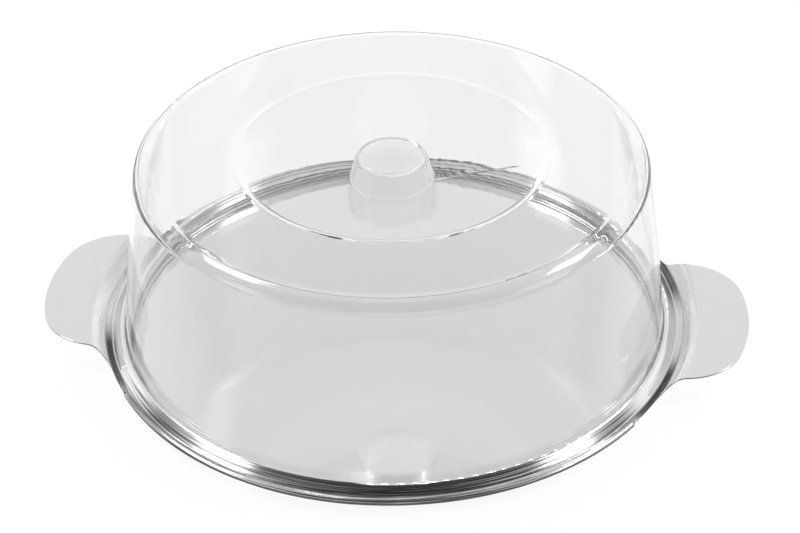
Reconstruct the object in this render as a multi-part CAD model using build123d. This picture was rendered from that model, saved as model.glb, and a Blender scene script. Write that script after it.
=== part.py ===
from build123d import *
from math import atan2, cos, degrees, hypot, radians, sin, tan
import os

# All lengths are in millimetres, z is up, the table is z = 0 and the two
# handles lie along x.

# Tray: one pressed sheet.
SHEET = 0.8  # sheet thickness
RIM_R = 150.0  # outside of the curled rim
BEAD_R = 1.5  # outside radius of the curl
BEAD_CENTRE_Z = 4.2  # height of the middle of the curl
CURL_END = -150.0  # where the curl stops, degrees from the outward direction
FLANGE_FLAT = 2.3  # from the top of the curl in to the foot of the ring's slope
SLOPE_FOOT_BEND = 1.0  # bends, mid sheet
RING_SLOPE = 45.0  # fall of the ring's outer side, degrees
RING_TOP = 10.2  # height of the ring's crest
RING_BEND = 0.9
RING_LEAN = 1.5  # how far the ring's inner side leans out, degrees
FLOOR_BEND = 1.0
HANDLE_TOP = 13.0  # height of the flat of a handle
HANDLE_SPREAD = 31.5  # half angle over which the rim is left uncurled
HANDLE_REACH = 33.4  # from the outside of the rim to the tip of a handle
HANDLE_TIP_ARC = 92.0  # radius of the end of a handle
HANDLE_SHOULDER_ARC = 31.0  # radius of the two shoulders of a handle
HANDLE_SHOULDER_ANGLE = 17.7  # where the end meets a shoulder, degrees
HANDLE_NECK_ARC = 22.0  # radius of the hollow between handle and rim
RISE_SETBACK = 3.2  # from the foot of the ring's slope out to the handle's rise
RISE_SLOPE = 48.0  # degrees
RISE_START_BEND = 2.5
RISE_END_BEND = 8.0
EDGE_ROUND = 0.32  # broken edge round a handle
TRIM = 5.0  # extra sheet that the outline of a handle cuts away

# Dome cover: one clear moulding. Its heights count from the tray's floor.
WALL = 2.4  # wall thickness
RING_CLEARANCE = 0.45  # from the foot of the ring in to the cover
FOOT_WIDTH = 3.4
FOOT_HEIGHT = 5.0
FOOT_ROUND = 0.7
UPRIGHT_HEIGHT = 11.2  # where the upright wall starts to lean in
UPRIGHT_ROUND = 40.0
BELLY_HEIGHT = 52.2  # where it starts to lean in more
BELLY_LEAN = 3.9  # how far the wall leans in up to there
CROWN_LEAN = 10.0  # how far the wall leans in up to the shoulder
BELLY_ROUND = 600.0
COVER_HEIGHT = 105.2  # up to the ridge round the sunk centre
CROWN_FALL = 0.9  # fall from that ridge to the shoulder
SHOULDER_ROUND = 12.5  # bends from here on: middle of the wall
SHOULDER_DROP = 4.3  # height of the steep end of the shoulder
SHOULDER_SLOPE = 45.0  # degrees
SHOULDER_EDGE = 2.5  # edge between shoulder and wall
SHOULDER_INSIDE = 9.0  # the inside of the moulding has tighter bends there
RIDGE_R = 78.0
RIDGE_ROUND = 18.0
RIDGE_INSIDE = 3.2
KNOB_TOP_R = 17.0  # corner between knob wall and knob top, middle of the wall
KNOB_TOP_DROP = 1.0  # from the ridge down to the knob top
KNOB_TOP_ROUND = 2.0
KNOB_FLARE = 3.2  # how far the knob widens down to its foot
KNOB_BASE_DROP = 14.6  # from the ridge down to the foot of the knob
KNOB_BASE_ROUND = 1.9
MARK_R = 3.6  # plain raised ring of the moulding gate
MARK_WIDTH = 0.5
MARK_HEIGHT = 0.35

# Derived heights and radii of the tray, mid sheet where not said otherwise.
half = SHEET / 2
handle_z = HANDLE_TOP - half
bead_centre_r = RIM_R - BEAD_R
flange_top = BEAD_CENTRE_Z + BEAD_R
flange_z = flange_top - half
slope_foot_r = bead_centre_r - FLANGE_FLAT
slope = radians(RING_SLOPE)
crest_centre_z = RING_TOP - half - RING_BEND
crest_drop = (crest_centre_z - flange_z) * cos(slope)
crest_r = slope_foot_r - (RING_BEND + crest_drop) / sin(slope)
join_r = (slope_foot_r + bead_centre_r) / 2
rise_start_r = slope_foot_r + RISE_SETBACK
rise_end_r = rise_start_r + (handle_z - flange_z) / tan(radians(RISE_SLOPE))
flat_start_r = rise_end_r + RISE_END_BEND * tan(radians(RISE_SLOPE / 2))
handle_tip_r = RIM_R + HANDLE_REACH


def tangent_corner(centre, bend, way_in, way_out):
    """Corner of a path whose bend turns right about that centre; ways are angles."""
    normal_in = (-sin(way_in), cos(way_in))
    normal_out = (-sin(way_out), cos(way_out))
    dot = normal_in[0] * normal_out[0] + normal_in[1] * normal_out[1]
    scale = bend / (1 + dot)
    return (
        centre[0] + (normal_in[0] + normal_out[0]) * scale,
        centre[1] + (normal_in[1] + normal_out[1]) * scale,
    )


ring_lean = radians(RING_LEAN)
crest_corner = tangent_corner(
    (crest_r, crest_centre_z), RING_BEND, radians(90) - ring_lean, -slope
)
wall_foot_r = crest_corner[0] - (crest_corner[1] - half) * tan(ring_lean)

# Derived heights and radii of the cover, middle of the wall.
foot_r = wall_foot_r - half - RING_CLEARANCE  # outside of the foot
cover_base_r = foot_r - WALL / 2
belly_r = cover_base_r - BELLY_LEAN
crown_r = cover_base_r - CROWN_LEAN
foot_middle_z = SHEET + FOOT_HEIGHT / 2
upright_z = SHEET + UPRIGHT_HEIGHT
belly_z = SHEET + BELLY_HEIGHT
crown_top = SHEET + COVER_HEIGHT
crown_z = crown_top - WALL / 2
shoulder_z = crown_z - CROWN_FALL
shoulder_r = crown_r - SHOULDER_DROP / tan(radians(SHOULDER_SLOPE))
knob_top_z = crown_top - KNOB_TOP_DROP
knob_base_r = KNOB_TOP_R + KNOB_FLARE


def unit(start, end):
    """Direction from one point to the next."""
    run = end[0] - start[0]
    rise = end[1] - start[1]
    length = hypot(run, rise)
    return run / length, rise / length


def side_edges(points, bends, offset):
    """Edges that follow a path at a sideways offset, with its corners rounded."""
    edges = []
    first = unit(points[0], points[1])
    here = (points[0][0] - first[1] * offset, points[0][1] + first[0] * offset)
    for before, corner, after, bend in zip(points, points[1:], points[2:], bends):
        way_in = unit(before, corner)
        way_out = unit(corner, after)
        cross = way_in[0] * way_out[1] - way_in[1] * way_out[0]
        dot = way_in[0] * way_out[0] + way_in[1] * way_out[1]
        turn = atan2(cross, dot)
        hand = 1 if turn > 0 else -1
        reach = bend * tan(abs(turn) / 2)
        radius = bend - hand * offset
        centre = (
            corner[0] - way_in[0] * reach - way_in[1] * bend * hand,
            corner[1] - way_in[1] * reach + way_in[0] * bend * hand,
        )
        arc_in = (
            centre[0] + way_in[1] * radius * hand,
            centre[1] - way_in[0] * radius * hand,
        )
        arc_out = (
            centre[0] + way_out[1] * radius * hand,
            centre[1] - way_out[0] * radius * hand,
        )
        middle = unit(centre, corner)
        arc_mid = (centre[0] + middle[0] * radius, centre[1] + middle[1] * radius)
        edges.append(Line(here, arc_in))
        edges.append(ThreePointArc(arc_in, arc_mid, arc_out))
        here = arc_out
    last = unit(points[-2], points[-1])
    end = (points[-1][0] - last[1] * offset, points[-1][1] + last[0] * offset)
    edges.append(Line(here, end))
    return edges


def sheet_section(points, bends, thickness, left_bends=None):
    """Section of even thickness along a path; its left side may have bends of its own."""
    left = side_edges(points, left_bends or bends, thickness / 2)
    right = side_edges(points, bends, -thickness / 2)
    caps = [Line(left[0] @ 0, right[0] @ 0), Line(left[-1] @ 1, right[-1] @ 1)]
    return Plane.XZ * make_face(left + right + caps)


def turned(section, start=0.0, sweep=360.0):
    """Solid of a section turned about the z axis."""
    solid = revolve(section, axis=Axis.Z, revolution_arc=sweep)
    return Rot(0, 0, start) * solid


def tray_core():
    """Floor, ring and the inner half of the flange."""
    path = [
        (0, half),
        (wall_foot_r, half),
        crest_corner,
        (slope_foot_r, flange_z),
        (join_r, flange_z),
    ]
    bends = [FLOOR_BEND, RING_BEND, SLOPE_FOOT_BEND]
    return turned(sheet_section(path, bends, SHEET))


def curl_section():
    """Outer half of the flange with the curl of the rim."""
    inner = BEAD_R - SHEET
    top = radians(90)
    stop = radians(CURL_END)
    halfway = (top + stop) / 2

    def on_curl(radius, angle):
        return (
            bead_centre_r + radius * cos(angle),
            BEAD_CENTRE_Z + radius * sin(angle),
        )

    seam_top = (join_r, flange_top)
    seam_bottom = (join_r, flange_top - SHEET)
    outline = [
        Line(seam_top, on_curl(BEAD_R, top)),
        ThreePointArc(on_curl(BEAD_R, top), on_curl(BEAD_R, halfway), on_curl(BEAD_R, stop)),
        Line(on_curl(BEAD_R, stop), on_curl(inner, stop)),
        ThreePointArc(on_curl(inner, stop), on_curl(inner, halfway), on_curl(inner, top)),
        Line(on_curl(inner, top), seam_bottom),
        Line(seam_bottom, seam_top),
    ]
    return Plane.XZ * make_face(outline)


def handle_section():
    """Outer half of the flange with the rise to the flat of a handle."""
    path = [
        (join_r, flange_z),
        (rise_start_r, flange_z),
        (rise_end_r, handle_z),
        (handle_tip_r + TRIM, handle_z),
    ]
    return sheet_section(path, [RISE_START_BEND, RISE_END_BEND], SHEET)


def handle_outline():
    """Plan of one handle with its two necks, along +x."""
    tip_centre = handle_tip_r - HANDLE_TIP_ARC
    meet = radians(HANDLE_SHOULDER_ANGLE)
    gap = HANDLE_TIP_ARC - HANDLE_SHOULDER_ARC
    shoulder = (tip_centre + gap * cos(meet), gap * sin(meet))
    tip_meet = (
        tip_centre + HANDLE_TIP_ARC * cos(meet),
        HANDLE_TIP_ARC * sin(meet),
    )
    # The neck arc touches the shoulder arc and the circle of the rim.
    far = RIM_R + HANDLE_NECK_ARC
    near = HANDLE_SHOULDER_ARC + HANDLE_NECK_ARC
    reach = hypot(shoulder[0], shoulder[1])
    bearing = atan2(shoulder[1], shoulder[0])
    cosine = (far**2 + reach**2 - near**2) / (2 * far * reach)
    swing = atan2((1 - cosine**2) ** 0.5, cosine)
    neck_angle = bearing + swing
    neck = (far * cos(neck_angle), far * sin(neck_angle))
    to_neck = unit(shoulder, neck)
    neck_meet = (
        shoulder[0] + to_neck[0] * HANDLE_SHOULDER_ARC,
        shoulder[1] + to_neck[1] * HANDLE_SHOULDER_ARC,
    )
    rim_meet = (RIM_R * cos(neck_angle), RIM_R * sin(neck_angle))
    to_rim = unit(neck, rim_meet)
    back = unit(neck, neck_meet)
    blend = unit((0, 0), (to_rim[0] + back[0], to_rim[1] + back[1]))
    neck_mid = (
        neck[0] + blend[0] * HANDLE_NECK_ARC,
        neck[1] + blend[1] * HANDLE_NECK_ARC,
    )
    out = unit(shoulder, tip_meet)
    swell = unit((0, 0), (out[0] + to_neck[0], out[1] + to_neck[1]))
    shoulder_mid = (
        shoulder[0] + swell[0] * HANDLE_SHOULDER_ARC,
        shoulder[1] + swell[1] * HANDLE_SHOULDER_ARC,
    )
    end_angle = radians(HANDLE_SPREAD)
    rim_end = (RIM_R * cos(end_angle), RIM_R * sin(end_angle))
    rim_turn = (neck_angle + end_angle) / 2
    rim_mid = (RIM_R * cos(rim_turn), RIM_R * sin(rim_turn))
    inner_r = join_r - TRIM
    inner_end = (inner_r * cos(end_angle), inner_r * sin(end_angle))

    upper = [
        ThreePointArc(tip_meet, shoulder_mid, neck_meet),
        ThreePointArc(neck_meet, neck_mid, rim_meet),
        ThreePointArc(rim_meet, rim_mid, rim_end),
        Line(rim_end, inner_end),
    ]
    lower = [mirror(edge, about=Plane.XZ) for edge in upper]
    tip_low = (tip_meet[0], -tip_meet[1])
    inner_low = (inner_end[0], -inner_end[1])
    closing = [
        ThreePointArc(tip_low, (handle_tip_r, 0), tip_meet),
        Line(inner_end, inner_low),
    ]
    return make_face(upper + lower + closing)


def handle():
    """One handle along +x, cut to its outline."""
    band = turned(handle_section(), -HANDLE_SPREAD, 2 * HANDLE_SPREAD)
    lobe = band & extrude(handle_outline(), amount=HANDLE_TOP + TRIM)
    rim_edges = [
        edge
        for edge in lobe.edges()
        if edge.center().X > flat_start_r
        and hypot(edge.center().X, edge.center().Y) > flat_start_r
    ]
    return fillet(rim_edges, EDGE_ROUND) if rim_edges else lobe


def build_tray():
    """Whole tray as one sheet."""
    body = tray_core()
    lobe = handle()
    curl = curl_section()
    sweep = 180 - 2 * HANDLE_SPREAD
    for side in (0, 180):
        body = body + turned(curl, side + HANDLE_SPREAD, sweep)
        body = body + Rot(0, 0, side) * lobe
    return body.clean()


def build_cover():
    """Dome cover with its foot rim, sunk centre, hollow knob and gate ring."""
    path = [
        (cover_base_r, foot_middle_z),
        (cover_base_r, upright_z),
        (belly_r, belly_z),
        (crown_r, shoulder_z - SHOULDER_DROP),
        (shoulder_r, shoulder_z),
        (RIDGE_R, crown_z),
        (knob_base_r, crown_z - KNOB_BASE_DROP),
        (KNOB_TOP_R, knob_top_z - WALL / 2),
        (0, knob_top_z - WALL / 2),
    ]
    bends = [
        UPRIGHT_ROUND,
        BELLY_ROUND,
        SHOULDER_EDGE,
        SHOULDER_ROUND,
        RIDGE_ROUND,
        KNOB_BASE_ROUND,
        KNOB_TOP_ROUND,
    ]
    inside = [
        UPRIGHT_ROUND,
        BELLY_ROUND,
        SHOULDER_EDGE,
        SHOULDER_INSIDE,
        RIDGE_INSIDE,
        KNOB_BASE_ROUND,
        KNOB_TOP_ROUND,
    ]
    shell = turned(sheet_section(path, bends, WALL, inside))
    foot = Pos(foot_r - FOOT_WIDTH / 2, foot_middle_z)
    foot_face = foot * RectangleRounded(FOOT_WIDTH, FOOT_HEIGHT, FOOT_ROUND)
    foot_ring = turned(Plane.XZ * foot_face)
    ring_face = Pos(MARK_R, knob_top_z) * Rectangle(MARK_WIDTH, MARK_HEIGHT * 2)
    mark = turned(Plane.XZ * ring_face)
    return (shell + foot_ring + mark).clean()


def save(name, shape):
    """One named piece, one file."""
    shape.label = name
    export_step(shape, f"parts/{name}.step")
    print(name, "solids", len(shape.solids()), "valid", shape.is_valid)


os.makedirs("parts", exist_ok=True)
save("tray", build_tray())
save("dome_cover", build_cover())
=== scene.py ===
import math

import bpy
from mathutils import Matrix, Vector

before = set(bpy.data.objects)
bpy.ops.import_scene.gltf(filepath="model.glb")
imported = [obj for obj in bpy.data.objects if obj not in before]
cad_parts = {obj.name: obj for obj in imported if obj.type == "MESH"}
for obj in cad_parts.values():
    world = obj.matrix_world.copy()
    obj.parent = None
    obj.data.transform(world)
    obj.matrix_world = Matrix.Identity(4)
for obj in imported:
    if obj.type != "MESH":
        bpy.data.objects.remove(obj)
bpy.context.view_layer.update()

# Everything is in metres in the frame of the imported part.
MM = 0.001

# Camera, fitted to the outline of the tray and the cover.
CAMERA_PLACE = Vector((132.6, -1052.7, 787.6)) * MM
CAMERA_TARGET = Vector((3.28, 0.40, 36.4)) * MM
CAMERA_LENS = 113.6
CAMERA_ROLL = math.radians(-1.0)

# Studio. Brightness by height above the horizon, as (sine of elevation, grey). Behind the
# object hangs a white cloth that reaches the table and goes dark overhead. On the camera's
# side only a strip of cloth at half height is lit.
BACK_WALL = [
    (0.0, 0.80),
    (0.10, 1.00),
    (0.30, 1.12),
    (0.50, 0.92),
    (0.58, 0.84),
    (0.70, 0.82),
    (0.84, 0.80),
    (0.93, 0.55),
    (1.0, 0.15),
]
CAMERA_WALL = [
    (0.0, 0.02),
    (0.20, 0.04),
    (0.32, 0.30),
    (0.42, 0.92),
    (0.56, 0.96),
    (0.62, 0.60),
    (0.69, 0.14),
    (0.78, 0.05),
    (1.0, 0.03),
]
WALL_CHANGE = (-0.25, 0.15)  # where one gives way to the other, by y of the direction
# Soft boxes, and grey flags beside the tray: azimuth, elevation, half width, half height,
# softness in degrees, brightness.
PANELS = [
    (-52, 56, 8, 5, 1.5, 9.0),
    (58, 51, 8, 5.5, 1.5, 9.0),
    (-112, 36, 6, 4, 6, 2.6),
    (100, 35, 6, 4, 6, 2.6),
    (-88, 24, 1, 1, 16, 0.3),
    (82, 24, 1, 1, 16, 0.3),
]

# The table is a light table: white, and lit from below so that shadows stay faint.
TABLE_REACH = 20.0
TABLE_DROP = 0.1 * MM
TABLE_GREY = 0.24
TABLE_GLOW = 0.85

# Tray: places in the pressing, from the build.
RING_CREST_R = 141.3 * MM
RIM_R = 150.0 * MM
FLANGE_Z = 5.7 * MM
# Finish of the steel.
STEEL_GREY = (0.843, 0.841, 0.851)
STEEL_DIM = (0.828, 0.826, 0.836)
STEEL_ROUGHNESS = (0.08, 0.105)
STEEL_WEAR = 9 * MM
SHEET_WAVE = 70 * MM
SHEET_WAVE_DEPTH = 0.03 * MM
# The dark lines, creases and edge below are painted dark reflections and painted shade, chosen
# for the look under a white ground, where the studio has nothing dark for these places to
# mirror.
# Drawing lines on the outside of the ring and on the flange.
ROLL_LINE = 1.1 * MM  # along the ring's section, between two lines
ROLL_PATCHES = 2.5  # changes of the lines over one radius of turn
ROLL_DEPTH = 0.08 * MM
# painted dark reflection along the deepest drawing lines
ROLL_REFLECTION_GREY = (0.15, 0.15, 0.15)
ROLL_STARTS = (RING_CREST_R + MM, RING_CREST_R + 2.2 * MM)
ROLL_ENDS = (RIM_R + 6 * MM, RIM_R + 9 * MM)
ROLL_SMOOTHER = (0.3, 0.7)  # y / radius: the lines are fainter on the far side
# Painted shade and dark reflection in the crease at the foot of each handle. The sides are given
# as
# |x| / radius, which is 1 in the middle of a handle.
CREASE_R = 148.6 * MM
CREASE_REACH = 2.6 * MM
CREASE_SHADE_GREY = (0.05, 0.05, 0.05)
CREASE_SIDES = (0.84, 0.89)
CREASE_MIDDLE = (0.965, 0.999)
# Painted shade on the steep outer side of the sheet's edge: places by radius, and steepness by
# height of the normal.
EDGE_SHADE_GREY = (0.08, 0.08, 0.08)
EDGE_STARTS = (RIM_R - 1.2 * MM, RIM_R - 0.6 * MM)
EDGE_UPRIGHT = (0.15, 0.62)

# Knob of the cover, from the build: its matt inside lies under a cone and below its top.
KNOB_FOOT_R = 20.6 * MM
KNOB_TOP_R = 17.0 * MM
KNOB_TOP_Z = 103.8 * MM
KNOB_SLANT = 3.2 / 13.6
# Finish of the plastic.
PLASTIC_TINT = (0.953, 0.951, 0.957)
PLASTIC_IOR = 1.50
PLASTIC_WAVE = 30 * MM
PLASTIC_WAVE_DEPTH = 0.03 * MM
PLASTIC_HAZE = 12 * MM
PLASTIC_ROUGHNESS = (0.0, 0.03)
KNOB_ROUGHNESS = 0.45
KNOB_CLEARNESS = 0.60
KNOB_PAINTED_GLOW = 0.23  # painted glow of the matt inside, standing in for light it would scatter back


def feed(tree, value, socket):
    """Links a socket to an input, or sets the input to a number."""
    if isinstance(value, bpy.types.NodeSocket):
        tree.links.new(value, socket)
    else:
        socket.default_value = value


def math_node(tree, operation, *values):
    """Output of a Math node."""
    node = tree.nodes.new("ShaderNodeMath")
    node.operation = operation
    for place, value in enumerate(values):
        feed(tree, value, node.inputs[place])
    return node.outputs[0]


def product(tree, first, *others):
    """Output of the product of several masks."""
    for other in others:
        first = math_node(tree, "MULTIPLY", first, other)
    return first


def smooth_step(tree, value, low, high, out_low=0.0, out_high=1.0):
    """Output that eases from one value to another between two limits."""
    node = tree.nodes.new("ShaderNodeMapRange")
    node.interpolation_type = "SMOOTHSTEP"
    tree.links.new(value, node.inputs["Value"])
    node.inputs["From Min"].default_value = low
    node.inputs["From Max"].default_value = high
    node.inputs["To Min"].default_value = out_low
    node.inputs["To Max"].default_value = out_high
    return node.outputs["Result"]


def mix_values(tree, mask, low, high):
    """Output that goes from one value to another with a mask."""
    rest = math_node(tree, "MULTIPLY", low, math_node(tree, "SUBTRACT", 1.0, mask))
    return math_node(tree, "ADD", rest, math_node(tree, "MULTIPLY", mask, high))


def mix_colours(tree, mask, low, high):
    """Output that goes from a colour, given or from a socket, to a given one with a mask."""
    node = tree.nodes.new("ShaderNodeMix")
    node.data_type = "RGBA"
    tree.links.new(mask, node.inputs["Factor"])
    feed(tree, low if isinstance(low, bpy.types.NodeSocket) else (*low, 1), node.inputs["A"])
    node.inputs["B"].default_value = (*high, 1)
    return node.outputs["Result"]


def direction(azimuth, elevation):
    """Unit vector; azimuth 0 is behind the object, 90 to its right, as the camera sees it."""
    a = math.radians(azimuth)
    e = math.radians(elevation)
    return Vector((math.sin(a) * math.cos(e), math.cos(a) * math.cos(e), math.sin(e)))


def dot_with(tree, vector, axis):
    """Output of the dot product with a fixed axis."""
    node = tree.nodes.new("ShaderNodeVectorMath")
    node.operation = "DOT_PRODUCT"
    tree.links.new(vector, node.inputs[0])
    node.inputs[1].default_value = axis
    return node.outputs["Value"]


def panel_mask(tree, vector, azimuth, elevation, half_width, half_height, soft):
    """1 where a direction meets a flat panel, with soft edges; sizes are in degrees."""
    ahead = direction(azimuth, elevation)
    side = Vector((ahead.y, -ahead.x, 0)).normalized()
    up = side.cross(ahead)
    depth = dot_with(tree, vector, ahead)
    safe = math_node(tree, "MAXIMUM", depth, 0.001)
    mask = smooth_step(tree, depth, 0.0, 0.05)
    for axis, half in ((side, half_width), (up, half_height)):
        across = math_node(tree, "DIVIDE", dot_with(tree, vector, axis), safe)
        across = math_node(tree, "ABSOLUTE", across)
        edge = math.tan(math.radians(half))
        inside = smooth_step(tree, across, edge, edge + math.tan(math.radians(soft)), 1.0, 0.0)
        mask = math_node(tree, "MULTIPLY", mask, inside)
    return mask


def grey_ramp(tree, value, stops):
    """Output of a brightness that follows a list of stops."""
    ramp = tree.nodes.new("ShaderNodeValToRGB")
    tree.links.new(value, ramp.inputs["Fac"])
    scale = max(grey for _, grey in stops)
    while len(ramp.color_ramp.elements) < len(stops):
        ramp.color_ramp.elements.new(0.5)
    for stop, (place, grey) in zip(ramp.color_ramp.elements, stops):
        stop.position = place
        stop.color = (grey / scale, grey / scale, grey / scale, 1)
    return math_node(tree, "MULTIPLY", ramp.outputs["Color"], scale)


def build_world():
    """Studio with a pale back wall, a dimmer front, soft boxes and flags."""
    world = bpy.data.worlds.new("studio")
    world.use_nodes = True
    tree = world.node_tree
    tree.nodes.clear()
    vector = tree.nodes.new("ShaderNodeTexCoord").outputs["Generated"]
    height = dot_with(tree, vector, (0, 0, 1))
    behind = smooth_step(tree, dot_with(tree, vector, (0, 1, 0)), *WALL_CHANGE)
    back = grey_ramp(tree, height, BACK_WALL)
    front = grey_ramp(tree, height, CAMERA_WALL)
    level = mix_values(tree, behind, front, back)
    for *panel, bright in PANELS:
        level = mix_values(tree, panel_mask(tree, vector, *panel), level, bright)
    background = tree.nodes.new("ShaderNodeBackground")
    tree.links.new(level, background.inputs["Strength"])
    background.inputs["Color"].default_value = (1, 1, 1, 1)
    output = tree.nodes.new("ShaderNodeOutputWorld")
    tree.links.new(background.outputs[0], output.inputs["Surface"])
    bpy.context.scene.world = world


def new_material(name):
    """New material, with its node tree and its shader."""
    material = bpy.data.materials.new(name)
    material.use_nodes = True
    tree = material.node_tree
    return material, tree, tree.nodes["Principled BSDF"]


def build_floor():
    """Plain white table."""
    mesh = bpy.data.meshes.new("floor")
    r = TABLE_REACH
    mesh.from_pydata([(-r, -r, 0), (r, -r, 0), (r, r, 0), (-r, r, 0)], [], [(0, 1, 2, 3)])
    floor = bpy.data.objects.new("floor", mesh)
    floor.location.z = -TABLE_DROP
    bpy.context.scene.collection.objects.link(floor)
    material, _, shader = new_material("floor")
    shader.inputs["Base Color"].default_value = (TABLE_GREY, TABLE_GREY, TABLE_GREY, 1)
    shader.inputs["Roughness"].default_value = 0.9
    shader.inputs["Specular IOR Level"].default_value = 0.0
    shader.inputs["Emission Color"].default_value = (1, 1, 1, 1)
    shader.inputs["Emission Strength"].default_value = TABLE_GLOW
    mesh.materials.append(material)


def build_camera():
    """Camera at the angle of the photograph."""
    data = bpy.data.cameras.new("camera")
    data.lens = CAMERA_LENS
    data.sensor_width = 36.0
    data.clip_start = 0.05
    data.clip_end = 50.0
    camera = bpy.data.objects.new("camera", data)
    camera.location = CAMERA_PLACE
    look = (CAMERA_TARGET - CAMERA_PLACE).to_track_quat("-Z", "Y")
    camera.rotation_euler = (look.to_matrix() @ Matrix.Rotation(CAMERA_ROLL, 3, "Z")).to_euler()
    bpy.context.scene.collection.objects.link(camera)
    bpy.context.scene.camera = camera


def split(tree, vector):
    """Outputs of the three parts of a vector."""
    node = tree.nodes.new("ShaderNodeSeparateXYZ")
    tree.links.new(vector, node.inputs[0])
    return node.outputs


def radius_of(tree, x, y):
    """Output of the distance from the axis of the round parts."""
    square = math_node(tree, "MULTIPLY_ADD", x, x, math_node(tree, "MULTIPLY", y, y))
    return math_node(tree, "SQRT", square)


def noise(tree, vector, scale, detail):
    """Output of a noise from 0 to 1."""
    node = tree.nodes.new("ShaderNodeTexNoise")
    tree.links.new(vector, node.inputs["Vector"])
    node.inputs["Scale"].default_value = scale
    node.inputs["Detail"].default_value = detail
    return node.outputs["Fac"]


def bump(tree, height, depth, under=None):
    """Normal from a height of 0 to 1 that stands for a depth in metres."""
    node = tree.nodes.new("ShaderNodeBump")
    node.inputs["Strength"].default_value = 1.0
    node.inputs["Distance"].default_value = depth
    tree.links.new(height, node.inputs["Height"])
    if under is not None:
        tree.links.new(under, node.inputs["Normal"])
    return node.outputs["Normal"]


def drawing_lines(tree, x, y, z, radius):
    """Noise that is fine across the ring's section and long round it."""
    place = tree.nodes.new("ShaderNodeCombineXYZ")
    across = math_node(tree, "SUBTRACT", radius, z)
    tree.links.new(math_node(tree, "DIVIDE", across, ROLL_LINE), place.inputs[0])
    for axis, socket in ((x, 1), (y, 2)):
        turn = math_node(tree, "DIVIDE", axis, radius)
        tree.links.new(math_node(tree, "MULTIPLY", turn, ROLL_PATCHES), place.inputs[socket])
    return noise(tree, place.outputs[0], 1.0, 3.0)


def painted_crease_shade_mask(tree, to_side, z, radius, lines):
    """Painted shade and dark reflection in the crease at the foot of each handle, strongest at
    the handle's two ends.
    """
    aside = math_node(tree, "ABSOLUTE", math_node(tree, "SUBTRACT", radius, CREASE_R))
    return product(
        tree,
        smooth_step(tree, aside, 0.4 * CREASE_REACH, CREASE_REACH, 1.0, 0.0),
        smooth_step(tree, to_side, *CREASE_SIDES),
        smooth_step(tree, to_side, *CREASE_MIDDLE, 1.0, 0.1),
        smooth_step(tree, z, FLANGE_Z - 0.5 * MM, FLANGE_Z),
        smooth_step(tree, lines, 0.25, 0.60, 0.75, 1.0),
    )


def painted_edge_shade_mask(tree, normal, radius):
    """Painted shade on the outer side of the rolled rim and on the cut edges of the handles."""
    upright = math_node(tree, "ABSOLUTE", split(tree, normal)["Z"])
    steep = smooth_step(tree, upright, *EDGE_UPRIGHT, 1.0, 0.0)
    return math_node(tree, "MULTIPLY", steep, smooth_step(tree, radius, *EDGE_STARTS))


def polished_steel():
    """Mirror steel with drawing lines round the ring, painted dark reflections along them, and
    painted shade in the creases and on the edge.
    """
    material, tree, shader = new_material("polished_steel")
    shader.inputs["Metallic"].default_value = 1.0
    coordinates = tree.nodes.new("ShaderNodeTexCoord").outputs
    place = coordinates["Object"]
    x, y, z = split(tree, place)
    radius = math_node(tree, "MAXIMUM", radius_of(tree, x, y), 0.001)
    to_side = math_node(tree, "DIVIDE", math_node(tree, "ABSOLUTE", x), radius)

    # Faint waves of the sheet, and drawing lines over them.
    lines = drawing_lines(tree, x, y, z, radius)
    to_back = math_node(tree, "DIVIDE", y, radius)
    lined = product(
        tree,
        smooth_step(tree, radius, *ROLL_STARTS),
        smooth_step(tree, radius, *ROLL_ENDS, 1.0, 0.0),
        smooth_step(tree, to_back, *ROLL_SMOOTHER, 1.0, 0.2),
    )
    waves = noise(tree, place, 1 / SHEET_WAVE, 1.0)
    normal = bump(tree, waves, SHEET_WAVE_DEPTH)
    normal = bump(tree, math_node(tree, "MULTIPLY", lined, lines), ROLL_DEPTH, normal)
    tree.links.new(normal, shader.inputs["Normal"])

    # Wear varies the gloss and, very little, the tone.
    wear = noise(tree, place, 1 / STEEL_WEAR, 6.0)
    rough = smooth_step(tree, wear, 0.35, 0.70, *STEEL_ROUGHNESS)
    tree.links.new(rough, shader.inputs["Roughness"])
    colour = mix_colours(tree, smooth_step(tree, wear, 0.2, 0.8), STEEL_GREY, STEEL_DIM)

    # Along the deepest of the drawing lines a dark reflection is painted, less so at the
    # handles.
    painted_reflection = smooth_step(tree, lines, 0.38, 0.58, 0.9, 0.0)
    away = smooth_step(tree, to_side, 0.82, 0.90, 1.0, 0.2)
    colour = mix_colours(tree, product(tree, lined, painted_reflection, away), colour, ROLL_REFLECTION_GREY)
    # painted shade and dark reflection in the crease at each handle's foot
    crease = painted_crease_shade_mask(tree, to_side, z, radius, lines)
    colour = mix_colours(tree, crease, colour, CREASE_SHADE_GREY)
    # painted shade on the steep outer side of the rim and the handles' edges
    colour = mix_colours(tree, painted_edge_shade_mask(tree, coordinates["Normal"], radius), colour, EDGE_SHADE_GREY)
    tree.links.new(colour, shader.inputs["Base Color"])
    return material


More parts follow.
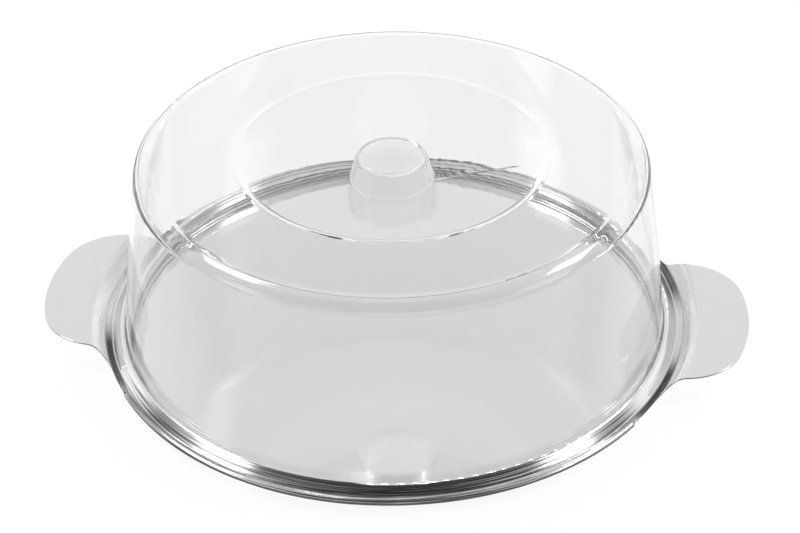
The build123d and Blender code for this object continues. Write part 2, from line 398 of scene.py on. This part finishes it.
def knob_inside(tree, z, radius):
    """1 on the inside of the knob and 0 elsewhere on the cover."""
    depth = math_node(tree, "SUBTRACT", KNOB_TOP_Z, z)
    cone = math_node(tree, "MULTIPLY_ADD", depth, KNOB_SLANT, KNOB_TOP_R)
    return product(
        tree,
        math_node(tree, "LESS_THAN", z, KNOB_TOP_Z),
        math_node(tree, "LESS_THAN", radius, cone),
        math_node(tree, "LESS_THAN", radius, KNOB_FOOT_R),
    )


def clear_plastic():
    """Clear plastic with faint waves and haze, milky and with a painted glow on the inside of
    the knob.
    """
    material, tree, shader = new_material("clear_plastic")
    shader.inputs["Base Color"].default_value = (*PLASTIC_TINT, 1)
    shader.inputs["IOR"].default_value = PLASTIC_IOR
    place = tree.nodes.new("ShaderNodeTexCoord").outputs["Object"]
    x, y, z = split(tree, place)
    inside = knob_inside(tree, z, radius_of(tree, x, y))
    clear = math_node(tree, "MULTIPLY_ADD", inside, KNOB_CLEARNESS - 1.0, 1.0)
    tree.links.new(clear, shader.inputs["Transmission Weight"])
    # painted glow: the inside of the knob emits light of its own
    shader.inputs["Emission Color"].default_value = (1, 1, 1, 1)
    glow = math_node(tree, "MULTIPLY", inside, KNOB_PAINTED_GLOW)
    tree.links.new(glow, shader.inputs["Emission Strength"])
    haze = noise(tree, place, 1 / PLASTIC_HAZE, 5.0)
    rough = smooth_step(tree, haze, 0.45, 0.75, *PLASTIC_ROUGHNESS)
    rough = mix_values(tree, inside, rough, KNOB_ROUGHNESS)
    tree.links.new(rough, shader.inputs["Roughness"])
    waves = noise(tree, place, 1 / PLASTIC_WAVE, 1.0)
    tree.links.new(bump(tree, waves, PLASTIC_WAVE_DEPTH), shader.inputs["Normal"])
    return material


def dress(node, material):
    """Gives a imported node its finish."""
    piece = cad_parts[node]
    piece.data.materials.clear()
    piece.data.materials.append(material)


def set_render():
    """Plain colours, and enough bounces for light that runs along inside the plastic."""
    scene = bpy.context.scene
    scene.view_settings.view_transform = "Standard"
    scene.cycles.max_bounces = 64
    scene.cycles.transmission_bounces = 64
    scene.cycles.glossy_bounces = 64
    scene.cycles.transparent_max_bounces = 16


build_world()
build_floor()
build_camera()
dress("tray", polished_steel())
dress("dome_cover", clear_plastic())
set_render()
